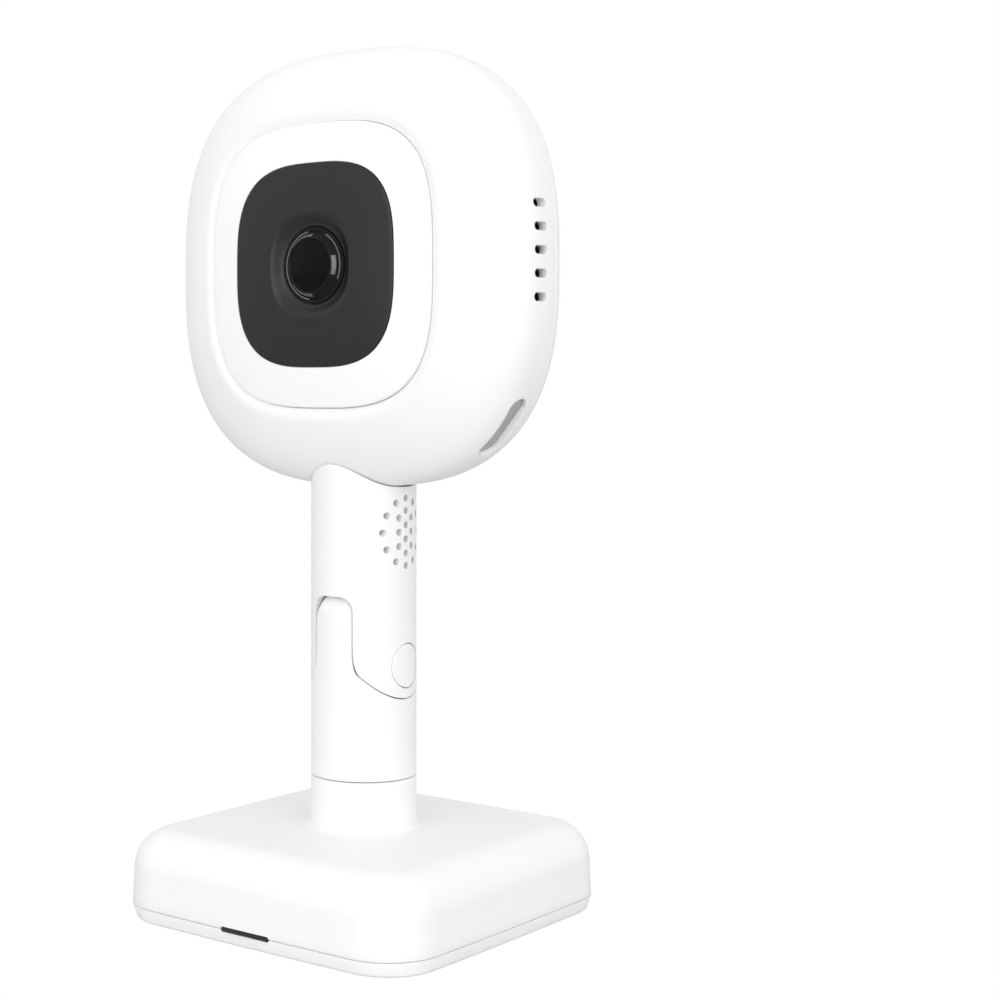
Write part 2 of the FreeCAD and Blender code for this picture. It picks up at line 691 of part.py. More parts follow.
def lens_glass():
    ball = Part.makeSphere(GLASS_CURVE, V(0, GLASS_FRONT + GLASS_CURVE, LENS_Z))
    return ball.common(rod_y(GLASS_R, GLASS_FRONT - 1, -15.7, 0, LENS_Z))


def lens_barrel():
    flange = ring_y(6.6, 5.0, -15.65, -13.0, 0, LENS_Z)
    tube = ring_y(5.6, 4.2, -13.5, -4.0, 0, LENS_Z)
    return fuse([flange, tube])


def lens_holder():
    block = box(-9, 9, -11.0, -2.0, LENS_Z - 9, LENS_Z + 9)
    block = block.cut(rod_y(5.65, -12, -3.6, 0, LENS_Z))
    return block.cut(box(-5.5, 5.5, -3.7, -1.5, LENS_Z - 5.5, LENS_Z + 5.5))


def image_sensor():
    return box(-4.5, 4.5, -2.9, -1.97, LENS_Z - 4, LENS_Z + 4)


def sensor_board():
    board = box(-13, 13, -1.95, -0.75, LENS_Z - 13, LENS_Z + 13)
    parts = box(-10, 10, -0.75, 0.6, LENS_Z - 11.5, LENS_Z - 7.5)
    return fuse([board, parts])


def infrared_board():
    board = Part.Face(outline(21.5, 21.5, WINDOW_POWER, -16.6)).extrude(V(0, 1.0, 0))
    return board.cut(rod_y(11.4, -18, -14, 0, LENS_Z))


def infrared_lamps():
    lamps = []
    for middle in (0, 180):
        for turn in (-45, 0, 45):
            a = math.radians(middle + turn)
            lamps.append(rod_y(1.7, -17.6, -16.62, 16.5 * math.cos(a), LENS_Z + 16.5 * math.sin(a)))
    return group(lamps)


def light_sensor():
    return box(-1.2, 1.2, -17.4, -16.62, LENS_Z + 14, LENS_Z + 16.4)


def main_board():
    board = Part.Face(outline(38.0, 34.0, HEAD_POWER, 1.9, 162.5)).extrude(V(0, 1.4, 0))
    parts = [box(18, 28, -0.6, 1.9, 150, 160), box(-30, -20, -0.6, 1.9, 152, 166),
             box(-12, 12, -1.6, 1.9, 182, 188), box(10, 24, 3.3, 5.2, 134, 142)]
    return fuse([board] + parts)


def processor():
    return box(-8, 8, 3.35, 4.75, 156, 172)


def radio_shield():
    can = box(12, 30, 3.35, 5.6, 172, 188)
    return can.cut(box(12.4, 29.6, 3.0, 5.2, 172.4, 187.6))


def heat_sink():
    slab = box(-22, 10, 4.8, 6.6, 150, 178)
    fins = [box(x, x + 1.2, 6.5, 11.0, 150, 178) for x in range(-22, 10, 5)]
    return fuse([slab] + fins)


def microphone():
    return fuse([rod_y(2.2, -1.4, 1.85, -16, 134), rod_y(0.6, -1.9, -1.3, -16, 134)])


def wifi_antenna():
    return box(-18, 18, -6.5, 1.5, 203.8, 204.4)


def neck_clip():
    plate = box(-16.5, 16.5, -10.8, 7.5, 118.0, 120.5)
    mouth = fuse([rod_z(NECK_R - 0.55, 117, 122), box(-NECK_R + 0.55, NECK_R - 0.55, 0, 10, 117, 122)])
    plate = plate.cut(mouth)
    for x in (-13, 13):
        plate = plate.cut(rod_z(1.2, 117, 122, x, -3.0))
    return plate


def neck_screws():
    return group([fuse([rod_z(2.1, 120.55, 122.1, x, -3.0), rod_z(0.94, 112.0, 120.6, x, -3.0)])
                  for x in (-13, 13)])


def corner_grille():
    """A slotted grille in the corner opening, held by a flange behind the wall."""
    front = pebble(0.9).common(grille_prism(0.0)).cut(pebble(2.4))
    flange = pebble(2.3).common(grille_prism(1.0)).cut(pebble(3.2))
    return fuse([front, flange])


def air_sensor():
    chip = box(-3.5, 3.5, -2.5, 2.5, 0, 1.2)
    chip.translate(V(0, 0, 44.0))
    chip.rotate(V(0, 0, 0), V(0, 1, 0), 90 - GRILLE_ANGLE)
    chip.translate(V(0, GRILLE_Y, HEAD_Z))
    return chip


# ---------------------------------------------------------------- write every part

MAKERS = [
    base_housing, bottom_plate, rubber_feet, base_screws, ballast_plate, status_light_bar, status_led,
    power_board, power_board_screws, power_socket, power_socket_tongue, pan_thrust_washer,
    lower_stem, pan_spindle, pan_spindle_screws, pan_friction_washer, pan_spring_washer,
    pan_retaining_ring,
    upper_stem, tilt_friction_washers, tilt_axle, tilt_axle_insert, tilt_axle_cap, button_board,
    button_switch,
    speaker_frame, speaker_cone, speaker_magnet, speaker_mesh,
    head_front_housing, head_rear_cover, head_screws, faceplate, lens_window, lens_ring, lens_glass,
    lens_barrel, lens_holder, image_sensor, sensor_board, infrared_board, infrared_lamps, light_sensor,
    main_board, processor, radio_shield, heat_sink, microphone, wifi_antenna, neck_clip, neck_screws,
    corner_grille, air_sensor,
    side_button,
]

os.makedirs("parts", exist_ok=True)
for maker in MAKERS:
    save(maker.__name__, maker())
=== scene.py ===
import json
import math

import bmesh
import bpy
from mathutils import Matrix, Vector


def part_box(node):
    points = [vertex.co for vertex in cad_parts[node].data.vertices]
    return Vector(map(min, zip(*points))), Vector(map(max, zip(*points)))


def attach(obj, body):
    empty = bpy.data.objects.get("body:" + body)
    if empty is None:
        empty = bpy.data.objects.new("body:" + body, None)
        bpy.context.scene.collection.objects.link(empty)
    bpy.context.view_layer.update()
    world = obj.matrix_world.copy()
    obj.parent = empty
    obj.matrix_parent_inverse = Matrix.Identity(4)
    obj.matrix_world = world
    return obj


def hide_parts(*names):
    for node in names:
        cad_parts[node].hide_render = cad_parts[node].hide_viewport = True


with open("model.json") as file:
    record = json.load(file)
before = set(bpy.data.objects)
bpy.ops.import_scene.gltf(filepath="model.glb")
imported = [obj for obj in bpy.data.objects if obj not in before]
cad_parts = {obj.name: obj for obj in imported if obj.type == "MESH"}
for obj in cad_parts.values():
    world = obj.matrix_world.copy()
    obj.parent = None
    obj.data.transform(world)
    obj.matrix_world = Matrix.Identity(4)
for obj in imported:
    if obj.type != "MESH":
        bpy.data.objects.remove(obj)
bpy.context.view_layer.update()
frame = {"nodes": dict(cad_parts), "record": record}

# Baby monitor camera: square base, round stem that turns and tilts, pebble-shaped head.
# Pieces are shaped in millimetres and brought to metres when they are finished.
MM = 0.001
AROUND = 192           # points round every lofted ring


# ---------------------------------------------------------------- places taken from the frame

def low(node, axis):
    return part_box(node)[0][axis] / MM


def high(node, axis):
    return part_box(node)[1][axis] / MM


X, Y, Z = 0, 1, 2
FACE_SEAM = 0.18        # the line between the housing and the faceplate
BASE_SEAM = 0.18        # the line between the base's shell and its underside
WALL = 2.0

BASE_LOW = low("base_housing", Z)
COLLAR_TOP = high("base_housing", Z)
BASE_HALF = high("base_housing", X)
PLATE_LOW = low("bottom_plate", Z)
BASE_TOP = 21.7
BASE_CORNER = 14.2
BASE_EDGE = 9.2
FLAT_HALF = 35.01       # half width of the flat top, where the edge's rounding ends
EDGE_Z = 12.5           # height of the centre of that rounding
SIDE_RADIUS = 1560.0    # the sides bow out a little
DRAFT = math.tan(math.radians(3))
FOOT_R = 14.8           # the collar's rounded foot
FOOT_ROUND = 1.8
WASHER_SEAT_R = 11.6    # openings down the middle of the collar
SPINDLE_R = 7.05
COLLAR_BORE_R = 10.8
PLATE_EDGE = 0.9        # rounding under the bottom plate
PAD_PLACE = 30          # the four pads stand this far from the middle, each way
PAD_R = 6.0
LIGHT_LENGTH = 14.6     # the status light's opening
LIGHT_HEIGHT = 1.1
POWER_LENGTH = 9.7      # the power inlet's opening
POWER_HEIGHT = 4.0

STEM_R = (high("lower_stem", X) - low("lower_stem", X)) / 2

HEAD_X = 53.6
HEAD_Z = 53.5
HEAD_MIDDLE = 158.8
HEAD_SQUARE = 2.69
HEAD_Y = -2.06
HEAD_FRONT = 19.5
FRONT_SQUARE = 2.4
HEAD_REAR = 18.9
REAR_SQUARE = 3.4
HEAD_WALL = 2.2
PARTING = high("head_front_housing", Y)
NECK_R = 9.7            # the upper stem's plug goes into the head through this
SCREW_X = 40.0          # the rear cover's screws, from the head's middle
SCREW_RISE = 23.0
BOSS_R = 3.4
BOSS_BORE_R = 2.8
VENT_LENGTH = 4.9
VENT_WIDTH = 2.0
VENT_STEP = 5.4
VENT_COUNT = 5
VENT_Y = -2.55
VENT_Z = 161.05

FACE = (33.4, 34.2, 3.15)          # half width, half height, squareness
PANE = (24.1, 24.4, 3.08)
DISH = (12.6, 12.6, 2.7)
FACE_SUNK = 0.45
PANE_SUNK = 0.25
ROLL_R = 4.2
ROLL_END = math.radians(32)
LENS_Z = (low("lens_ring", Z) + high("lens_ring", Z)) / 2
BEZEL_R = (high("lens_ring", X) - low("lens_ring", X)) / 2
DISH_FLOOR = -19.35
BEZEL_FACE = -19.7      # the black flange round the lens's cone
BEZEL_BACK = -16.3
LENS_FRONT = -21.1      # the lens's front rim
CONE_IN = 6.45
CONE_OUT = 8.15
CONE_REFLECTION_ARCS = ((86, 142), (220, 274), (-20, 17))      # grey arcs on the lens's cone, in degrees: painted reflections of the lamps
RIM_HIGHLIGHT_ARCS = ((100, 262), (-25, 62))             # grey arcs round the cone's foot, in degrees: painted highlights on its rim

BUTTON_Y = 0.7
BUTTON_Y_HALF = 5.2
BUTTON_Z_HALF = 5.3
BUTTON_LIP = 0.5        # the hidden flange stands this far out at the top


# ---------------------------------------------------------------- outlines

def squircle(turn, half_x, half_z, square):
    """Distance from the centre to the outline in the direction turn."""
    across = abs(math.cos(turn) / half_x) ** square
    up = abs(math.sin(turn) / half_z) ** square
    return (across + up) ** (-1 / square)


def base_outline(turn, inset, z):
    """A point on the base's rounded square, drawn in by inset."""
    half = BASE_HALF - inset
    corner = max(BASE_CORNER - inset, 0.3)
    reach = half - corner
    bow = reach ** 2 / (2 * SIDE_RADIUS)
    lean = reach / SIDE_RADIUS
    middle = half - bow - corner * math.cos(lean)
    side_end = middle + corner * math.sin(lean)
    quarter = int(turn / (math.pi / 2) + 1e-9)
    t = turn / (math.pi / 2) - quarter
    if t < 0.25:
        s = t / 0.25
        point = Vector((half - bow * s * s, side_end * s, z))
    elif t > 0.75:
        s = (1 - t) / 0.25
        point = Vector((side_end * s, half - bow * s * s, z))
    else:
        a = lean + (math.pi / 2 - 2 * lean) * (t - 0.25) / 0.5
        point = Vector((middle + corner * math.cos(a), middle + corner * math.sin(a), z))
    return Matrix.Rotation(quarter * math.pi / 2, 3, "Z") @ point


def base_ring(inset, z):
    return lambda turn: base_outline(turn, inset, z)


def round_ring(radius, z):
    return lambda turn: Vector((radius * math.cos(turn), radius * math.sin(turn), z))


def between(ring_a, ring_b, share):
    return lambda turn: ring_a(turn).lerp(ring_b(turn), share)


def pebble_depth(distance, turn, inset, rear=False):
    """Depth of the head's surface at a distance from its axis."""
    edge = squircle(turn, HEAD_X - inset, HEAD_Z - inset, HEAD_SQUARE)
    share = min(distance / edge, 1.0)
    if rear:
        return HEAD_Y + (HEAD_REAR - inset) * (1 - share ** REAR_SQUARE) ** (1 / REAR_SQUARE)
    return HEAD_Y - (HEAD_FRONT - inset) * (1 - share ** FRONT_SQUARE) ** (1 / FRONT_SQUARE)


def head_point(distance, turn, y, middle=HEAD_MIDDLE):
    return Vector((distance * math.cos(turn), y, middle + distance * math.sin(turn)))


def pebble_ring(inset, swing, rear=False):
    """A ring on the head at swing radians from its widest outline."""
    square = REAR_SQUARE if rear else FRONT_SQUARE
    depth = (HEAD_REAR if rear else -HEAD_FRONT) + (-inset if rear else inset)
    scale = math.cos(swing) ** (2 / square)
    y = HEAD_Y + depth * math.sin(swing) ** (2 / square)

    def ring(turn):
        return head_point(scale * squircle(turn, HEAD_X - inset, HEAD_Z - inset, HEAD_SQUARE), turn, y)
    return ring


def swing_at(y, inset, rear):
    """How far round the section the surface reaches depth y."""
    square = REAR_SQUARE if rear else FRONT_SQUARE
    depth = (HEAD_REAR if rear else HEAD_FRONT) - inset
    return math.asin((abs(y - HEAD_Y) / depth) ** (square / 2))


def steps(first, last, count):
    return [first + (last - first) * i / count for i in range(count + 1)]


def arc(centre, radius, first, last, count):
    """Points (across, up) along an arc, by angles in degrees."""
    turns = [math.radians(a) for a in steps(first, last, count)]
    return [(centre[0] + radius * math.cos(a), centre[1] + radius * math.sin(a)) for a in turns]


# ---------------------------------------------------------------- mesh helpers

def loft(rings, closed=False, first_pole=False, last_pole=False, around=AROUND):
    """A circle drawn out ring after ring.  Each ring says where a point goes for its turn."""
    bm = bmesh.new()
    turn_of = bm.verts.layers.float.new("turn")
    bmesh.ops.create_circle(bm, segments=around, radius=1)
    for v in bm.verts:
        v[turn_of] = math.atan2(v.co.y, v.co.x) % (2 * math.pi)
        if v[turn_of] > 2 * math.pi - 1e-4:
            v[turn_of] = 0.0
    loop = list(bm.edges)
    first = loop
    for v in bm.verts:
        v.co = rings[0](v[turn_of])
    for ring in rings[1:]:
        grown = bmesh.ops.extrude_edge_only(bm, edges=loop)["geom"]
        loop = [e for e in grown if isinstance(e, bmesh.types.BMEdge)]
        verts = {v for v in grown if isinstance(v, bmesh.types.BMVert)}
        loop = [e for e in loop if e.verts[0] in verts and e.verts[1] in verts]
        for v in verts:
            v.co = ring(v[turn_of])
    if closed:
        bmesh.ops.bridge_loops(bm, edges=first + loop)
    for wanted, edges in ((first_pole, first), (last_pole, loop)):
        if wanted:
            ends = list({v for e in edges for v in e.verts})
            middle = sum((v.co for v in ends), Vector()) / len(ends)
            bmesh.ops.pointmerge(bm, verts=ends, merge_co=middle)
    bmesh.ops.recalc_face_normals(bm, faces=bm.faces)
    return bm


def turned(profile, axis_start, axis, around=64):
    """A profile of (radius, height) points spun about an axis, closed at its ends on the axis."""
    bm = bmesh.new()
    up = Vector(axis).normalized()
    side = up.orthogonal().normalized()
    start = Vector(axis_start)
    row = [bm.verts.new(start + side * r + up * h) for r, h in profile]
    edges = [bm.edges.new(pair) for pair in zip(row, row[1:])]
    bmesh.ops.spin(bm, geom=row + edges, cent=start, axis=up, angle=2 * math.pi, steps=around,
                   use_merge=True)
    bmesh.ops.remove_doubles(bm, verts=bm.verts, dist=1e-4)
    bmesh.ops.recalc_face_normals(bm, faces=bm.faces)
    return bm


def stadium_bar(length, width, depth, around=48):
    """A round-ended bar: length along X, width along Y, from 0 to depth along Z."""
    bm = bmesh.new()
    bmesh.ops.create_circle(bm, segments=around, radius=width / 2, cap_ends=True)
    for v in bm.verts:
        v.co.x += math.copysign((length - width) / 2, v.co.x)
    grown = bmesh.ops.extrude_face_region(bm, geom=list(bm.faces))["geom"]
    far_end = [v for v in grown if isinstance(v, bmesh.types.BMVert)]
    bmesh.ops.translate(bm, verts=far_end, vec=(0, 0, depth))
    bmesh.ops.recalc_face_normals(bm, faces=bm.faces)
    return bm


def rod(radius, start, end, around=48):
    """A cylinder between two points."""
    start, end = Vector(start), Vector(end)
    bm = bmesh.new()
    length = (end - start).length
    turn = (end - start).to_track_quat("Z", "Y").to_matrix().to_4x4()
    place = Matrix.Translation((start + end) / 2) @ turn
    bmesh.ops.create_cone(bm, cap_ends=True, segments=around, radius1=radius, radius2=radius,
                          depth=length, matrix=place)
    return bm


def moved(bm, matrix):
    bmesh.ops.transform(bm, matrix=matrix, verts=bm.verts)
    return bm


def joined(parts):
    """Several meshes as one."""
    whole = bmesh.new()
    for part in parts:
        mesh = bpy.data.meshes.new("part")
        part.to_mesh(mesh)
        part.free()
        whole.from_mesh(mesh)
        bpy.data.meshes.remove(mesh)
    return whole


def as_object(bm, name):
    mesh = bpy.data.meshes.new(name)
    bm.to_mesh(mesh)
    bm.free()
    obj = bpy.data.objects.new(name, mesh)
    bpy.context.scene.collection.objects.link(obj)
    return obj


def boolean(bm, other, operation):
    """bm cut by, or fused with, another closed mesh."""
    body = as_object(bm, "body")
    tool = as_object(other, "tool")
    cut = body.modifiers.new("cut", "BOOLEAN")
    cut.operation = operation
    cut.solver = "EXACT"
    cut.object = tool
    bpy.context.view_layer.update()
    mesh = bpy.data.meshes.new_from_object(body.evaluated_get(bpy.context.evaluated_depsgraph_get()))
    result = bmesh.new()
    result.from_mesh(mesh)
    for obj in (body, tool):
        bpy.data.objects.remove(obj)
    bpy.data.meshes.remove(mesh)
    bmesh.ops.remove_doubles(result, verts=result.verts, dist=0.004)
    bmesh.ops.dissolve_degenerate(result, edges=result.edges, dist=0.004)
    return result


def carved(bm, cutters):
    return boolean(bm, joined(cutters), "DIFFERENCE")


def soften(bm, inside, amount, segments=2, sharper=40):
    """Rounds the sharp edges whose middle the test accepts."""
    edges = []
    for e in bm.edges:
        if len(e.link_faces) == 2 and e.calc_face_angle(0) > math.radians(sharper):
            if inside((e.verts[0].co + e.verts[1].co) / 2):
                edges.append(e)
    bmesh.ops.bevel(bm, geom=edges, offset=amount, offset_type="OFFSET", affect="EDGES",
                    segments=segments, profile=0.5, material=-1, clamp_overlap=False)
    bmesh.ops.remove_doubles(bm, verts=bm.verts, dist=0.004)
    return bm


def finish_piece(bm, name, material, body, replaced=(), sharp=35):
    """Brings a shape to metres, shades it, gives it its finish and lets it ride on its body."""
    bmesh.ops.scale(bm, vec=(MM, MM, MM), verts=bm.verts)
    obj = as_object(bm, name)
    obj.data.shade_smooth()
    obj.data.set_sharp_from_angle(angle=math.radians(sharp))
    obj.data.materials.append(material)
    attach(obj, body)
    if replaced:
        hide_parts(*replaced)
    return obj


# ---------------------------------------------------------------- finishes

def group_tree(name, inputs, outputs):
    tree = bpy.data.node_groups.new(name, "ShaderNodeTree")
    for label, default in inputs:
        socket = tree.interface.new_socket(label, in_out="INPUT", socket_type="NodeSocketFloat")
        socket.default_value = default
    for label, kind in outputs:
        tree.interface.new_socket(label, in_out="OUTPUT", socket_type=kind)
    return tree, tree.nodes.new("NodeGroupInput"), tree.nodes.new("NodeGroupOutput")


def noise(tree, coords, scale, detail=3.0, rough=0.5):
    node = tree.nodes.new("ShaderNodeTexNoise")
    node.inputs["Detail"].default_value = detail
    node.inputs["Roughness"].default_value = rough
    tree.links.new(coords, node.inputs["Vector"])
    if isinstance(scale, (int, float)):
        node.inputs["Scale"].default_value = scale
    else:
        tree.links.new(scale, node.inputs["Scale"])
    return node.outputs["Fac"]


def math_node(tree, operation, a, b):
    node = tree.nodes.new("ShaderNodeMath")
    node.operation = operation
    for socket, value in zip(node.inputs, (a, b)):
        if isinstance(value, (int, float)):
            socket.default_value = value
        else:
            tree.links.new(value, socket)
    return node.outputs[0]


def spread(tree, value, low_value, high_value):
    """Maps a 0.3 to 0.7 noise to a range."""
    node = tree.nodes.new("ShaderNodeMapRange")
    node.inputs["From Min"].default_value = 0.3
    node.inputs["From Max"].default_value = 0.7
    tree.links.new(value, node.inputs["Value"])
    for socket, wanted in (("To Min", low_value), ("To Max", high_value)):
        if isinstance(wanted, (int, float)):
            node.inputs[socket].default_value = wanted
        else:
            tree.links.new(wanted, node.inputs[socket])
    return node.outputs["Result"]


def moulded_grain_group():
    """Fine spark-eroded grain with slow drift of tone and gloss, as on moulded plastic."""
    tree, given, result = group_tree(
        "moulded_grain",
        [("Grain Size", 2600.0), ("Gloss", 0.4), ("Gloss Change", 0.04), ("Tone Change", 0.012)],
        [("Tone", "NodeSocketFloat"), ("Roughness", "NodeSocketFloat"), ("Height", "NodeSocketFloat")])
    coords = tree.nodes.new("ShaderNodeTexCoord").outputs["Object"]
    drift = noise(tree, coords, 38.0, 2.0)
    grain = noise(tree, coords, given.outputs["Grain Size"], 2.0, 0.6)
    dark = math_node(tree, "SUBTRACT", 1.0, given.outputs["Tone Change"])
    tree.links.new(spread(tree, drift, dark, 1.0), result.inputs["Tone"])
    low_gloss = math_node(tree, "SUBTRACT", given.outputs["Gloss"], given.outputs["Gloss Change"])
    high_gloss = math_node(tree, "ADD", given.outputs["Gloss"], given.outputs["Gloss Change"])
    mixed = math_node(tree, "ADD", math_node(tree, "MULTIPLY", drift, 0.6),
                      math_node(tree, "MULTIPLY", grain, 0.4))
    tree.links.new(spread(tree, mixed, low_gloss, high_gloss), result.inputs["Roughness"])
    tree.links.new(grain, result.inputs["Height"])
    return tree


def drawn_metal_group():
    """Fine lines along Z with mottled plating, for turned, rolled and plated metal."""
    tree, given, result = group_tree(
        "drawn_metal",
        [("Line Size", 900.0), ("Gloss", 0.35)],
        [("Tone", "NodeSocketFloat"), ("Roughness", "NodeSocketFloat"), ("Height", "NodeSocketFloat")])
    coords = tree.nodes.new("ShaderNodeTexCoord").outputs["Object"]
    mapping = tree.nodes.new("ShaderNodeMapping")
    mapping.inputs["Scale"].default_value = (1.0, 1.0, 0.05)
    tree.links.new(coords, mapping.inputs["Vector"])
    lines = noise(tree, mapping.outputs["Vector"], given.outputs["Line Size"], 3.0)
    mottle = noise(tree, coords, 160.0, 2.0)
    tree.links.new(spread(tree, mottle, 0.86, 1.0), result.inputs["Tone"])
    rougher = math_node(tree, "ADD", given.outputs["Gloss"], 0.16)
    tree.links.new(spread(tree, lines, given.outputs["Gloss"], rougher), result.inputs["Roughness"])
    tree.links.new(lines, result.inputs["Height"])
    return tree


def weave_group():
    """Over-and-under threads from two crossed waves."""
    tree, given, result = group_tree(
        "open_weave", [("Thread Size", 1500.0)],
        [("Tone", "NodeSocketFloat"), ("Height", "NodeSocketFloat")])
    coords = tree.nodes.new("ShaderNodeTexCoord").outputs["Object"]
    waves = []
    for direction in ("Y", "Z"):
        wave = tree.nodes.new("ShaderNodeTexWave")
        wave.bands_direction = direction
        tree.links.new(coords, wave.inputs["Vector"])
        tree.links.new(given.outputs["Thread Size"], wave.inputs["Scale"])
        waves.append(wave.outputs["Fac"])
    height = math_node(tree, "MAXIMUM", waves[0], waves[1])
    tree.links.new(height, result.inputs["Height"])
    tone = math_node(tree, "ADD", math_node(tree, "MULTIPLY", height, 0.6), 0.4)
    tree.links.new(tone, result.inputs["Tone"])
    return tree


GRAIN = moulded_grain_group()
METAL = drawn_metal_group()
WEAVE = weave_group()


def new_material(name):
    material = bpy.data.materials.new(name)
    material.use_nodes = True
    return material, material.node_tree, material.node_tree.nodes["Principled BSDF"]


def use_group(tree, group, values):
    node = tree.nodes.new("ShaderNodeGroup")
    node.node_tree = group
    for label, value in values.items():
        node.inputs[label].default_value = value
    return node


def tinted(tree, colour, tone, shader):
    """The colour times the changing tone, into the base colour."""
    mix = tree.nodes.new("ShaderNodeMix")
    mix.data_type = "RGBA"
    mix.blend_type = "MULTIPLY"
    mix.inputs["Factor"].default_value = 1.0
    mix.inputs["A"].default_value = (*colour, 1)
    tree.links.new(tone, mix.inputs["B"])
    tree.links.new(mix.outputs["Result"], shader.inputs["Base Color"])


def bumped(tree, height, distance, strength, shader):
    bump = tree.nodes.new("ShaderNodeBump")
    bump.inputs["Strength"].default_value = strength
    bump.inputs["Distance"].default_value = distance
    tree.links.new(height, bump.inputs["Height"])
    tree.links.new(bump.outputs["Normal"], shader.inputs["Normal"])


def moulded(name, colour, gloss, grain=2600.0, tone=0.012, bump=0.12, ior=1.5):
    material, tree, shader = new_material(name)
    finish = use_group(tree, GRAIN, {"Grain Size": grain, "Gloss": gloss, "Tone Change": tone})
    tinted(tree, colour, finish.outputs["Tone"], shader)
    tree.links.new(finish.outputs["Roughness"], shader.inputs["Roughness"])
    bumped(tree, finish.outputs["Height"], 0.00002, bump, shader)
    shader.inputs["IOR"].default_value = ior
    return material


def metal(name, colour, gloss):
    material, tree, shader = new_material(name)
    finish = use_group(tree, METAL, {"Gloss": gloss})
    tinted(tree, colour, finish.outputs["Tone"], shader)
    tree.links.new(finish.outputs["Roughness"], shader.inputs["Roughness"])
    bumped(tree, finish.outputs["Height"], 0.00002, 0.2, shader)
    shader.inputs["Metallic"].default_value = 1.0
    return material


def woven(name, colour, thread):
    material, tree, shader = new_material(name)
    cloth = use_group(tree, WEAVE, {"Thread Size": thread})
    tinted(tree, colour, cloth.outputs["Tone"], shader)
    bumped(tree, cloth.outputs["Height"], 0.0001, 0.8, shader)
    shader.inputs["Roughness"].default_value = 0.8
    return material


FINISHES = {
    "white_plastic": moulded("satin_white_housing", (0.9, 0.9, 0.9), 0.42),
    "faceplate_plastic": moulded("smooth_white_faceplate", (0.93, 0.93, 0.93), 0.3,
                                 grain=3200.0, tone=0.008, bump=0.06),
    "grille_plastic": moulded("grey_grille", (0.42, 0.42, 0.43), 0.45,
                              grain=1900.0, tone=0.05, bump=0.25),
    "dark_window": moulded("smoked_window", (0.004, 0.004, 0.0045), 0.4,
                           grain=3200.0, tone=0.1, bump=0.02),
    "smoked_light": moulded("smoked_light_pipe", (0.012, 0.012, 0.013), 0.22,
                            grain=3200.0, tone=0.1, bump=0.02),
    "black_plastic": moulded("black_nylon", (0.018, 0.018, 0.019), 0.35,
                             grain=1900.0, tone=0.15, bump=0.2),
    "lens_glass": moulded("coated_lens_glass", (0.003, 0.003, 0.004), 0.08,
                          grain=3200.0, tone=0.1, bump=0.0, ior=1.2),
    "rubber": moulded("grey_silicone", (0.24, 0.245, 0.25), 0.7, grain=1500.0, tone=0.08, bump=0.4),
    "steel": metal("zinc_plated_steel", (0.55, 0.55, 0.57), 0.3),
    "brass": metal("turned_brass", (0.72, 0.52, 0.24), 0.28),
    "aluminium": metal("extruded_aluminium", (0.78, 0.79, 0.8), 0.34),
    "circuit_board": moulded("solder_mask_green", (0.015, 0.11, 0.05), 0.28,
                             grain=700.0, tone=0.3, bump=0.3),
    "chip": moulded("moulded_epoxy", (0.02, 0.02, 0.022), 0.5, grain=1500.0, tone=0.2, bump=0.3),
    "paper_cone": woven("coated_paper_cone", (0.05, 0.05, 0.055), 900.0),
    "sound_mesh": woven("acoustic_mesh", (0.16, 0.16, 0.165), 1500.0),
}
# flat grey for the painted reflections and painted highlights on the lens's cone
PAINTED_GLINT_GREY = moulded("painted_reflection_grey", (0.15, 0.15, 0.155), 0.34,
                          grain=1900.0, tone=0.12, bump=0.1)
BEZEL_FINISH = moulded("blackened_lens_ring", (0.006, 0.006, 0.006), 0.34,
                       grain=3200.0, tone=0.1, bump=0.05, ior=1.24)

for part in frame["record"]["subparts"]:
    node = frame["nodes"][part["node"]]
    node.data.materials.clear()
    node.data.materials.append(FINISHES[part["material_slot"]])


def finished(bm, name, node, body, sharp=35):
    """A piece that stands for one CAD node and takes that node's finish."""
    slot = next(p["material_slot"] for p in frame["record"]["subparts"] if p["node"] == node)
    return finish_piece(bm, name, FINISHES[slot], body, [node], sharp)


# ---------------------------------------------------------------- base

def lit_slot(grow):
    """The status light's round-ended opening across the front seam."""
    bar = stadium_bar(LIGHT_LENGTH + 2 * grow, LIGHT_HEIGHT + 2 * grow, 9.0)
    turn = Matrix.Rotation(math.radians(90), 4, "X")
    return moved(bar, Matrix.Translation((0, -37.0, BASE_LOW - BASE_SEAM / 2)) @ turn)


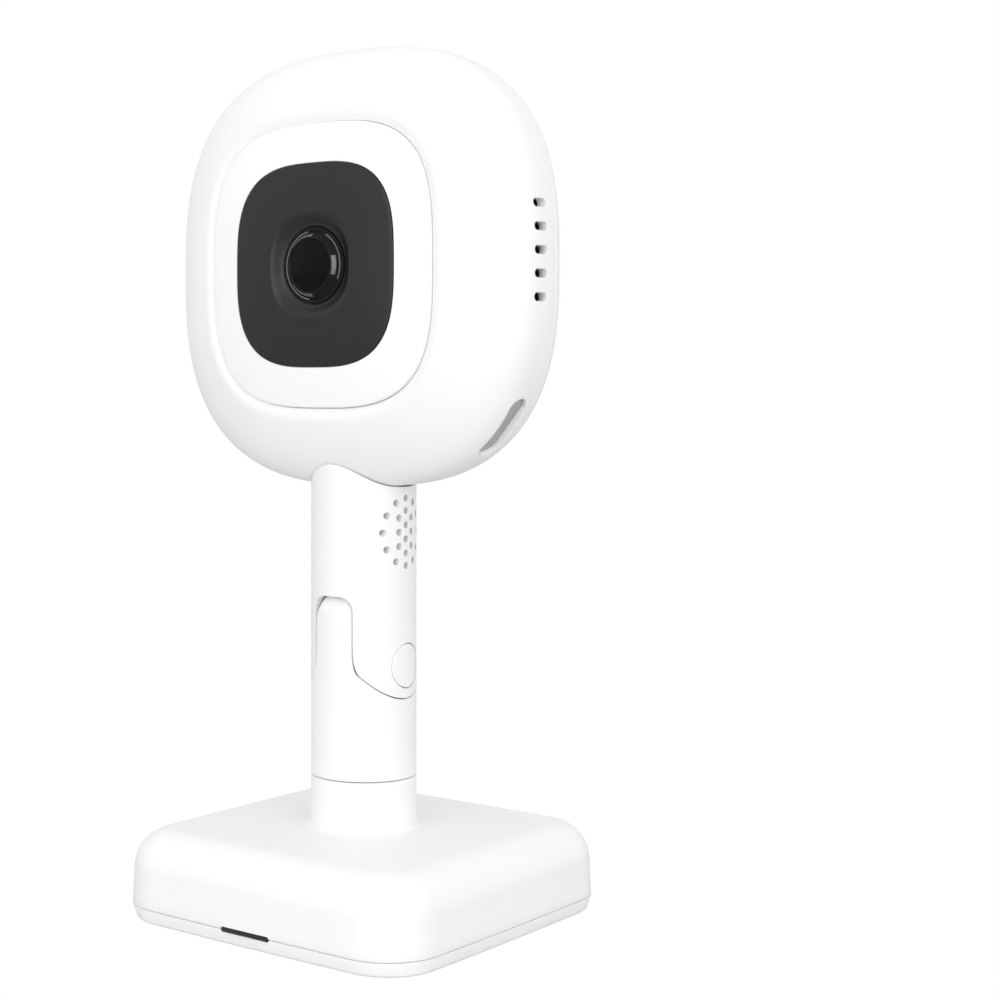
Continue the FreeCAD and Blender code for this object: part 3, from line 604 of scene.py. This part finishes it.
def make_base_shell():
    edge_in = BASE_HALF - FLAT_HALF
    wall = [(0.2, BASE_LOW), (0.06, BASE_LOW + 0.06), (0.01, BASE_LOW + 0.2)]
    wall += [((z - BASE_LOW) * DRAFT, z) for z in (6.0, 9.0, EDGE_Z)]
    edge = [(BASE_HALF - x, z) for x, z in arc((FLAT_HALF, EDGE_Z), BASE_EDGE, 3, 90, 20)]
    rings = [base_ring(inset, z) for inset, z in wall + edge]
    foot = round_ring(FOOT_R, BASE_TOP)
    rings += [between(base_ring(edge_in, BASE_TOP), foot, s) for s in (0.15, 0.35, 0.6, 0.8, 0.95, 1.0)]
    rings += [round_ring(r, z) for r, z in arc((FOOT_R, BASE_TOP + FOOT_ROUND), FOOT_ROUND,
                                                 270, 180, 8)[1:]]
    top = COLLAR_TOP
    rings += [round_ring(r, z) for r, z in (
        (STEM_R, 28.0), (STEM_R, top - 0.2), (STEM_R - 0.06, top - 0.06), (STEM_R - 0.2, top),
        (WASHER_SEAT_R, top), (WASHER_SEAT_R, top - 0.8), (SPINDLE_R, top - 0.8), (SPINDLE_R, top - 3.0),
        (COLLAR_BORE_R, top - 3.0), (COLLAR_BORE_R, 19.8))]
    ceiling = base_ring(edge_in, BASE_TOP - WALL)
    rings += [between(round_ring(COLLAR_BORE_R, BASE_TOP - WALL), ceiling, s) for s in (0.0, 0.4, 1.0)]
    inner = arc((FLAT_HALF, EDGE_Z), BASE_EDGE - WALL, 90, 3, 12)
    rings += [base_ring(BASE_HALF - x, z) for x, z in inner[1:]]
    rings += [base_ring(WALL, 8.0), base_ring(WALL, BASE_LOW)]
    shell = loft(rings, closed=True)
    power = stadium_bar(POWER_LENGTH, POWER_HEIGHT, 12.0)
    power_z = (low("power_socket", Z) + high("power_socket", Z)) / 2
    turn = Matrix.Rotation(math.radians(-90), 4, "X")
    moved(power, Matrix.Translation((0, 38.0, power_z)) @ turn)
    shell = carved(shell, [lit_slot(0.1), power])
    return soften(shell, lambda p: p.y > 43 and abs(p.x) < 6 and 9 < p.z < 17, 0.25)


def make_bottom_plate():
    top = BASE_LOW - BASE_SEAM
    taper = 1.1 / (top - PLATE_LOW)
    inset_low = (top - PLATE_LOW - 0.8) * taper
    edge_top = PLATE_LOW + PLATE_EDGE
    wall = [(0.2, top), (0.06, top - 0.06), (0.03, top - 0.2), (inset_low, edge_top)]
    edge = [(inset_low + PLATE_EDGE - x, edge_top + z) for x, z in arc((0, 0), PLATE_EDGE, 0, -90, 8)[1:]]
    rings = [base_ring(inset, z) for inset, z in wall + edge]
    outer = base_ring(inset_low + PLATE_EDGE, PLATE_LOW)
    rings += [between(outer, round_ring(2.0, PLATE_LOW), s) for s in (0.3, 0.7, 1.0)]
    under = loft(rings + [round_ring(0.5, PLATE_LOW)], last_pole=True)
    inside = [base_ring(2.2, top), base_ring(2.2, 6.0), base_ring(3.7, 6.0), base_ring(3.7, 2.5)]
    inside += [between(base_ring(3.7, 2.5), round_ring(2.0, 2.5), s) for s in (0.5, 1.0)]
    tray = loft([base_ring(0.2, top)] + inside + [round_ring(0.5, 2.5)], last_pole=True)
    plate = joined([under, tray])
    bmesh.ops.remove_doubles(plate, verts=plate.verts, dist=0.001)
    bmesh.ops.recalc_face_normals(plate, faces=plate.faces)
    pockets = [rod(PAD_R + 0.1, (x, y, 0.0), (x, y, 1.2))
               for x in (-PAD_PLACE, PAD_PLACE) for y in (-PAD_PLACE, PAD_PLACE)]
    plate = carved(plate, pockets + [lit_slot(0.1)])
    return soften(plate, lambda p: p.z < PLATE_LOW + 0.05, 0.15)


def make_feet():
    """Four domed pads, each with a raised ring round its rim."""
    feet = []
    profile = [(0.0, 0.35), (3.9, 0.35), (4.2, 0.25), (4.4, 0.0), (5.6, 0.0), (5.9, 0.12), (PAD_R, 0.4),
               (PAD_R, 1.15), (0.0, 1.15)]
    for x in (-PAD_PLACE, PAD_PLACE):
        for y in (-PAD_PLACE, PAD_PLACE):
            feet.append(turned(profile, (x, y, 0), (0, 0, 1)))
    return joined(feet)


def make_light_bar():
    """The smoked light pipe: its face follows the front and stands a hair behind it."""
    bar = lit_slot(-0.03)
    for v in bar.verts:
        face = -BASE_HALF + 0.18 + v.co.x ** 2 / (2 * SIDE_RADIUS)
        v.co.y = face if v.co.y < -41 else face + 3.5
    return soften(bar, lambda p: p.y < -43, 0.2, 3)


# ---------------------------------------------------------------- head

def roll_start(turn):
    """Where the housing begins to roll in: distance, depth and slope of the surface there."""
    distance = squircle(turn, *FACE) + FACE_SEAM + 2.9
    for _ in range(4):
        near = pebble_depth(distance - 0.05, turn, 0)
        far = pebble_depth(distance + 0.05, turn, 0)
        slope = math.atan((far - near) / 0.1)
        distance = squircle(turn, *FACE) + FACE_SEAM + ROLL_R * (math.sin(slope) + math.sin(ROLL_END))
    return distance, pebble_depth(distance, turn, 0), slope


ROLL_STARTS = {}


def roll_start_at(turn):
    key = round(turn, 5)
    if key not in ROLL_STARTS:
        ROLL_STARTS[key] = roll_start(turn)
    return ROLL_STARTS[key]


def brow_ring(share):
    """Rings from the widest outline to the start of the roll, all on the head's surface."""
    def ring(turn):
        distance, _, _ = roll_start_at(turn)
        edge = squircle(turn, HEAD_X, HEAD_Z, HEAD_SQUARE)
        swing = share * math.acos((distance / edge) ** (FRONT_SQUARE / 2))
        reach = edge * math.cos(swing) ** (2 / FRONT_SQUARE)
        return head_point(reach, turn, pebble_depth(reach, turn, 0))
    return ring


def roll_ring(share, back=0.0, out=0.0):
    """Rings on the roll.  back and out carry the last one down the housing's inner edge."""
    def ring(turn):
        distance, depth, slope = roll_start_at(turn)
        heading = slope - share * (slope + ROLL_END)
        across = distance - ROLL_R * (math.sin(slope) - math.sin(heading))
        y = depth + ROLL_R * (math.cos(slope) - math.cos(heading))
        return head_point(across + out, turn, y + back)
    return ring


def side_vents():
    cutters = []
    for side in (-1, 1):
        outward = Matrix.Rotation(math.radians(90 * side), 4, "Y")
        turn = outward @ Matrix.Rotation(math.radians(90), 4, "Z")
        for k in range(VENT_COUNT):
            bar = stadium_bar(VENT_LENGTH, VENT_WIDTH, 12.0, 32)
            place = Matrix.Translation((side * 46.0, VENT_Y, VENT_Z + (k - 2) * VENT_STEP))
            cutters.append(moved(bar, place @ turn))
    return cutters


GRILLE_TURN = math.radians(132.6)       # from straight up, towards the button's side
GRILLE_OUT = Vector((math.sin(GRILLE_TURN), 0, math.cos(GRILLE_TURN)))
GRILLE_ALONG = Vector((GRILLE_OUT.z, 0, -GRILLE_OUT.x))
GRILLE_CENTRE = Vector((0, -2.2, HEAD_MIDDLE))
GRILLE_LENGTH = 16.8
GRILLE_WIDTH = 5.3
GRILLE_SHIFT = -0.4


def grille_slot(grow):
    bar = stadium_bar(GRILLE_LENGTH + 2 * grow, GRILLE_WIDTH + 2 * grow, 24.0, 96)
    turn = Matrix.Rotation(GRILLE_TURN, 4, "Y")
    place = GRILLE_CENTRE + GRILLE_OUT * 46.0 + GRILLE_ALONG * GRILLE_SHIFT
    return moved(bar, Matrix.Translation(place) @ turn)


def neck_bore():
    return rod(NECK_R, (0, 0, 98), (0, 0, 123), 64)


def make_front_shell():
    rear = steps(swing_at(PARTING, 0, True), 0, 5)[:-1]
    rings = [pebble_ring(0.2, swing_at(PARTING, 0.2, True), True)]
    rings += [pebble_ring(0, swing_at(PARTING - 0.2, 0, True), True)]
    rings += [pebble_ring(0, a, True) for a in rear[1:]]
    rings += [brow_ring(s) for s in steps(0, 1, 26)]
    rings += [roll_ring(s) for s in steps(0, 1, 12)[1:]]
    rings += [roll_ring(1, 0.1, -0.02), roll_ring(1, 1.6, 0), roll_ring(1, 1.8, 2.6)]
    inner = HEAD_WALL
    inner_swings = steps(0, 0.96, 12)[1:]
    rings += [pebble_ring(inner, a) for a in reversed(inner_swings)]
    rings += [pebble_ring(inner, 0), pebble_ring(inner, swing_at(PARTING, inner, True), True)]
    shell = loft(rings, closed=True)
    shell = carved(shell, side_vents() + [grille_slot(0.2), neck_bore()])
    bmesh.ops.recalc_face_normals(shell, faces=shell.faces)
    shell = soften(shell, near_vents, 0.15, 2)
    return soften(shell, on_grille_rim, 0.2, 2)


def near_vents(p):
    return abs(p.x) > 51 and 145 < p.z < 178 and abs(p.y + 2.5) < 3.2


def near_grille(p):
    q = p - GRILLE_CENTRE
    return q.dot(GRILLE_OUT) > 40 and abs(q.dot(GRILLE_ALONG)) < 10 and abs(q.y) < 3.6


def on_grille_rim(p):
    return near_grille(p) and (p - GRILLE_CENTRE).dot(GRILLE_OUT) > surface_out(p) - 0.6


def surface_out(p, inset=0.0):
    """How far out along the grille's direction the head's surface lies, in line with p."""
    q = p - GRILLE_CENTRE
    start = GRILLE_CENTRE + GRILLE_ALONG * q.dot(GRILLE_ALONG) + Vector((0, q.y, 0))
    near, far = 20.0, 80.0
    for _ in range(30):
        middle = (near + far) / 2
        spot = start + GRILLE_OUT * middle
        rise = spot.z - HEAD_MIDDLE
        turn = math.atan2(rise, spot.x)
        reach = math.hypot(spot.x, rise)
        edge = squircle(turn, HEAD_X - inset, HEAD_Z - inset, HEAD_SQUARE)
        front = spot.y < HEAD_Y
        depth = (HEAD_FRONT if front else HEAD_REAR) - inset
        square = FRONT_SQUARE if front else REAR_SQUARE
        inside = (reach / edge) ** square + (abs(spot.y - HEAD_Y) / depth) ** square < 1
        if inside:
            near = middle
        else:
            far = middle
    return near


def make_rear_shell():
    low_y = PARTING + 0.25
    start = swing_at(low_y, 0, True)
    rings = [pebble_ring(0.2, swing_at(low_y, 0.2, True), True)]
    rings += [pebble_ring(0, a, True) for a in steps(start + 0.01, math.radians(89), 34)]
    lip = [pebble_ring(HEAD_WALL, swing_at(low_y, HEAD_WALL, True), True)]
    outer = loft(lip + rings, last_pole=True)
    lip += [pebble_ring(HEAD_WALL + 0.15, swing_at(2.8, HEAD_WALL + 0.15, True), True)]
    lip += [pebble_ring(HEAD_WALL + 1.2, swing_at(2.8, HEAD_WALL + 1.2, True), True)]
    lip += [pebble_ring(HEAD_WALL + 1.2, swing_at(7.0, HEAD_WALL + 1.2, True), True)]
    inner_start = swing_at(7.2, HEAD_WALL, True)
    lip += [pebble_ring(HEAD_WALL, a, True) for a in steps(inner_start, math.radians(89), 20)]
    inner = loft(lip, last_pole=True)
    shell = joined([outer, inner])
    bmesh.ops.remove_doubles(shell, verts=shell.verts, dist=0.001)
    bmesh.ops.recalc_face_normals(shell, faces=shell.faces)
    places = [(sx * SCREW_X, HEAD_MIDDLE + sz * SCREW_RISE) for sx in (-1, 1) for sz in (-1, 1)]
    beyond = math.hypot(SCREW_X, SCREW_RISE) + BOSS_R
    boss_end = pebble_depth(beyond, math.atan2(SCREW_RISE, SCREW_X), 0.6, True)
    bosses = [rod(BOSS_R, (x, PARTING + 0.3, z), (x, boss_end, z)) for x, z in places]
    shell = boolean(shell, joined(bosses), "UNION")
    bores = [rod(BOSS_BORE_R, (x, 7.6, z), (x, 24, z)) for x, z in places]
    shell = carved(shell, bores + [neck_bore()])
    return soften(shell, lambda p: p.y > 9 and abs(abs(p.x) - SCREW_X) < 3.5, 0.35, 3)


def face_ring(outline, grow, sunk, back=0.0):
    def ring(turn):
        distance = squircle(turn, *outline) + grow
        return head_point(distance, turn, pebble_depth(distance, turn, sunk) + back)
    return ring


def blended_face(outline_a, outline_b, share, sunk):
    """Rings between two outlines, on the surface drawn in by sunk."""
    def ring(turn):
        distance = squircle(turn, *outline_a) * (1 - share) + squircle(turn, *outline_b) * share
        return head_point(distance, turn, pebble_depth(distance, turn, sunk))
    return ring


def rounded_rim(outline, sunk, radius, outward, count=5):
    """Rings that round a plate's rim from its face to its side."""
    rings = []
    for a in steps(0, math.pi / 2, count):
        grow = outward * (radius * math.sin(a) - radius)
        rings.append(face_ring(outline, grow, sunk, radius * (1 - math.cos(a))))
    return rings


def make_face_ring():
    opening = (PANE[0] + 0.12, PANE[1] + 0.12, PANE[2])
    rings = [face_ring(FACE, 0, FACE_SUNK, 3.0)]
    rings += reversed(rounded_rim(FACE, FACE_SUNK, 0.35, 1))
    rings += [blended_face(FACE, opening, s, FACE_SUNK) for s in steps(0, 1, 12)[1:-1]]
    rings += rounded_rim(opening, FACE_SUNK, 0.15, -1, 3)
    rings += [face_ring(opening, 0, FACE_SUNK, 1.5), face_ring(opening, -1.5, FACE_SUNK, 1.6)]
    rings += [face_ring(opening, -1.5, FACE_SUNK, 2.9), face_ring(FACE, -1.0, FACE_SUNK, 3.0)]
    return loft(rings, closed=True)


def dish_ring(distance_of, depth):
    return lambda turn: head_point(distance_of(turn), turn, depth, LENS_Z)


def make_pane():
    """The smoked window: a curved pane with a soft dish pressed in round the lens."""
    rings = [face_ring(PANE, 0, PANE_SUNK, 1.4)]
    rings += reversed(rounded_rim(PANE, PANE_SUNK, 0.15, 1, 3))
    rings += [blended_face(PANE, DISH, s, PANE_SUNK) for s in steps(0, 1, 14)[1:]]
    sleeve = BEZEL_R + 0.12
    for i in range(1, 13):
        s = i / 12
        fall = s * s * (3 - 2 * s)

        def ring(turn, s=s, fall=fall):
            distance = squircle(turn, *DISH) * (1 - s) + sleeve * s
            glass = pebble_depth(distance, turn, PANE_SUNK)
            return head_point(distance, turn, glass * (1 - fall) + DISH_FLOOR * fall)
        rings.append(ring)
    rings += [dish_ring(lambda turn: sleeve, DISH_FLOOR + 0.15), dish_ring(lambda turn: sleeve, -16.4)]
    rings += [dish_ring(lambda turn: 11.2, -16.4), dish_ring(lambda turn: 11.2, -18.0)]
    rings += [blended_face(DISH, PANE, s, PANE_SUNK + 1.4) for s in (0.1, 0.5, 0.95)]
    return loft(rings, closed=True)


def lens_turned(profile, around=128):
    """A profile of (radius, depth) points about the lens's axis; depths run along Y."""
    return turned([(r, y) for r, y in profile], (0, 0, LENS_Z), (0, 1, 0), around)


def make_bezel():
    return lens_turned([
        (CONE_IN - 0.3, BEZEL_BACK), (BEZEL_R, BEZEL_BACK), (BEZEL_R, BEZEL_FACE + 0.15),
        (BEZEL_R - 0.1, BEZEL_FACE), (BEZEL_R - 0.3, BEZEL_FACE - 0.05), (CONE_OUT + 0.1, BEZEL_FACE),
        (CONE_OUT, BEZEL_FACE + 0.08), (CONE_OUT - 0.12, BEZEL_FACE),
        (CONE_IN + 0.18, LENS_FRONT), (CONE_IN + 0.05, LENS_FRONT - 0.06), (CONE_IN - 0.1, LENS_FRONT),
        (CONE_IN - 0.2, LENS_FRONT + 0.2), (CONE_IN - 0.3, LENS_FRONT + 0.3), (CONE_IN - 0.3, BEZEL_BACK)])


def make_lens_dome():
    edge = CONE_IN - 0.32
    curve = 40.0
    sag = curve - math.sqrt(curve ** 2 - edge ** 2)
    front = LENS_FRONT + 0.25 - sag
    dome = [(edge * s, front + curve - math.sqrt(curve ** 2 - (edge * s) ** 2)) for s in steps(0, 1, 14)]
    return lens_turned(dome + [(edge, -17.2), (0.0, -17.2)])


def rim_highlight_arc(first, last):
    """A thin grey arc round the foot of the lens's cone: a painted highlight on its rim."""
    bm = bmesh.new()
    a = math.radians(first)
    profile = [(CONE_OUT - 0.1, -19.78), (CONE_OUT + 0.12, -19.84), (CONE_OUT + 0.22, -19.74),
               (CONE_OUT + 0.1, -19.6), (CONE_OUT - 0.1, -19.6)]
    row = [bm.verts.new((r * math.cos(a), y, LENS_Z + r * math.sin(a))) for r, y in profile]
    face = bm.faces.new(row)
    bmesh.ops.spin(bm, geom=[face], cent=(0, 0, LENS_Z), axis=(0, -1, 0),
                   angle=math.radians(last - first), steps=64)
    bmesh.ops.recalc_face_normals(bm, faces=bm.faces)
    return bm


def make_painted_lens_glints():
    """Three grey arcs on the lens's cone, painted reflections of the lamps, and the painted highlight arcs
    at its foot.
    """
    reflection_arcs = []
    for first, last in CONE_REFLECTION_ARCS:
        bm = bmesh.new()
        a = math.radians(first)
        profile = [(CONE_IN + 0.35, LENS_FRONT + 0.03), (CONE_OUT - 0.35, -19.87),
                   (CONE_OUT - 0.35, -19.6), (CONE_IN + 0.35, LENS_FRONT + 0.4)]
        row = [bm.verts.new((r * math.cos(a), y, LENS_Z + r * math.sin(a))) for r, y in profile]
        face = bm.faces.new(row)
        bmesh.ops.spin(bm, geom=[face], cent=(0, 0, LENS_Z), axis=(0, -1, 0),
                       angle=math.radians(last - first), steps=24)
        bmesh.ops.recalc_face_normals(bm, faces=bm.faces)
        reflection_arcs.append(bm)
    return joined(reflection_arcs + [rim_highlight_arc(first, last) for first, last in RIM_HIGHLIGHT_ARCS])


def make_grille():
    """The grey insert of the corner opening: a curved plate held behind the wall."""
    plate = bmesh.new()
    bmesh.ops.create_circle(plate, segments=96, radius=GRILLE_WIDTH / 2 - 0.1, cap_ends=True)
    for v in plate.verts:
        v.co.x += math.copysign((GRILLE_LENGTH - GRILLE_WIDTH) / 2, v.co.x)
    face = list(plate.faces)
    for width in (0.25, 0.5, 0.6, 0.5):
        bmesh.ops.inset_region(plate, faces=face, thickness=width, use_even_offset=True)
    for v in plate.verts:
        spot = GRILLE_CENTRE + GRILLE_ALONG * (v.co.x + GRILLE_SHIFT) + Vector((0, v.co.y, 0))
        v.co = spot + GRILLE_OUT * surface_out(spot, 1.0)
    grown = bmesh.ops.extrude_face_region(plate, geom=list(plate.faces))["geom"]
    backs = [v for v in grown if isinstance(v, bmesh.types.BMVert)]
    bmesh.ops.translate(plate, verts=backs, vec=-GRILLE_OUT * 1.4)
    bmesh.ops.recalc_face_normals(plate, faces=plate.faces)
    return plate


# ---------------------------------------------------------------- button

def make_button():
    """The push button: its face follows the stem and its rim is softly rounded."""
    middle_z = high("side_button", Z) - BUTTON_Z_HALF - BUTTON_LIP

    def ring(share, sunk, flange=0.0):
        def place(turn):
            y = BUTTON_Y + (BUTTON_Y_HALF * share + flange) * math.cos(turn)
            z = (BUTTON_Z_HALF * share + flange) * math.sin(turn)
            return Vector((math.sqrt(STEM_R ** 2 - y * y) - sunk, y, middle_z + z))
        return place
    rings = [ring(s, 0.0) for s in (0.02, 0.3, 0.6, 0.85, 0.95)]
    rings += [ring(0.98, 0.03), ring(0.995, 0.1), ring(1.0, 0.25), ring(1.0, 1.9), ring(1.0, 2.0, 0.1)]
    rings += [ring(1.0, 2.7, 0.1), ring(0.02, 2.7)]
    return loft(rings, first_pole=True, last_pole=True, around=96)


# ---------------------------------------------------------------- put it together

finished(make_base_shell(), "base_shell", "base_housing", "base")
finished(make_bottom_plate(), "base_underside", "bottom_plate", "base")
finished(make_feet(), "silicone_feet", "rubber_feet", "base")
finished(make_light_bar(), "front_light_pipe", "status_light_bar", "base")
finished(make_front_shell(), "head_front_shell", "head_front_housing", "head")
finished(make_rear_shell(), "head_back_shell", "head_rear_cover", "head")
finished(make_face_ring(), "white_face_ring", "faceplate", "head")
finished(make_pane(), "smoked_pane", "lens_window", "head")
finish_piece(make_bezel(), "lens_bezel", BEZEL_FINISH, "head", ["lens_ring"])
finished(make_lens_dome(), "lens_dome", "lens_glass", "head")
# grey arcs on the lens: painted reflections and painted highlights
finish_piece(make_painted_lens_glints(), "lens_painted_glints", PAINTED_GLINT_GREY, "head")
finished(make_grille(), "corner_insert", "corner_grille", "head")
finished(make_button(), "oval_button", "side_button", "button")


# ---------------------------------------------------------------- floor, light and camera

def lit_floor():
    """A white floor: pure white to the eye, pale grey as a reflector."""
    bm = bmesh.new()
    bmesh.ops.create_grid(bm, x_segments=2, y_segments=2, size=6.0)
    floor = as_object(bm, "studio_floor")
    material, tree, shader = new_material("studio_floor")
    shader.inputs["Base Color"].default_value = (0.6, 0.6, 0.6, 1)
    shader.inputs["Roughness"].default_value = 0.9
    glow = tree.nodes.new("ShaderNodeEmission")
    path = tree.nodes.new("ShaderNodeLightPath")
    mix = tree.nodes.new("ShaderNodeMixShader")
    tree.links.new(path.outputs["Is Camera Ray"], mix.inputs[0])
    tree.links.new(shader.outputs["BSDF"], mix.inputs[1])
    tree.links.new(glow.outputs["Emission"], mix.inputs[2])
    tree.links.new(mix.outputs["Shader"], tree.nodes["Material Output"].inputs["Surface"])
    floor.data.materials.append(material)


def studio_sky():
    """White all round to the eye; as a light it grows brighter towards the top."""
    world = bpy.data.worlds.new("studio")
    bpy.context.scene.world = world
    world.use_nodes = True
    tree = world.node_tree
    tree.nodes.clear()
    out = tree.nodes.new("ShaderNodeOutputWorld")
    seen = tree.nodes.new("ShaderNodeBackground")
    light = tree.nodes.new("ShaderNodeBackground")
    direction = tree.nodes.new("ShaderNodeTexCoord").outputs["Generated"]
    height = tree.nodes.new("ShaderNodeSeparateXYZ")
    rise = tree.nodes.new("ShaderNodeMapRange")
    rise.inputs["To Min"].default_value = 0.79
    rise.inputs["To Max"].default_value = 0.92
    tree.links.new(direction, height.inputs["Vector"])
    tree.links.new(height.outputs["Z"], rise.inputs["Value"])
    tree.links.new(rise.outputs["Result"], light.inputs["Strength"])
    mix = tree.nodes.new("ShaderNodeMixShader")
    path = tree.nodes.new("ShaderNodeLightPath")
    tree.links.new(path.outputs["Is Camera Ray"], mix.inputs[0])
    tree.links.new(light.outputs[0], mix.inputs[1])
    tree.links.new(seen.outputs[0], mix.inputs[2])
    seen.inputs["Color"].default_value = (1, 1, 1, 1)
    light.inputs["Color"].default_value = (1, 1, 1, 1)
    tree.links.new(mix.outputs[0], out.inputs["Surface"])


def soft_box(name, place, aim, size, power):
    lamp = bpy.data.lights.new(name, "AREA")
    lamp.shape = "RECTANGLE"
    lamp.size, lamp.size_y = size
    lamp.energy = power
    obj = bpy.data.objects.new(name, lamp)
    obj.location = place
    obj.rotation_euler = (Vector(aim) - Vector(place)).to_track_quat("-Z", "Y").to_euler()
    bpy.context.scene.collection.objects.link(obj)


def studio_camera():
    data = bpy.data.cameras.new("camera")
    data.lens = 69.586
    data.sensor_width = 36.0
    data.shift_x = 0.19123
    data.shift_y = -0.1177
    data.clip_start = 0.01
    camera = bpy.data.objects.new("camera", data)
    camera.location = (0.2940009, -0.3767707, 0.1307176)
    camera.rotation_euler = (math.radians(90), 0, math.radians(39.596))
    bpy.context.scene.collection.objects.link(camera)
    bpy.context.scene.camera = camera


lit_floor()
studio_sky()
soft_box("front_box", (0.11, -1.27, 0.38), (0, 0, 0.11), (0.8, 0.8), 4.4)
soft_box("side_box", (1.18, -0.55, 0.38), (0, 0, 0.11), (0.8, 0.8), 4.9)
studio_camera()
bpy.context.scene.view_settings.view_transform = "Standard"
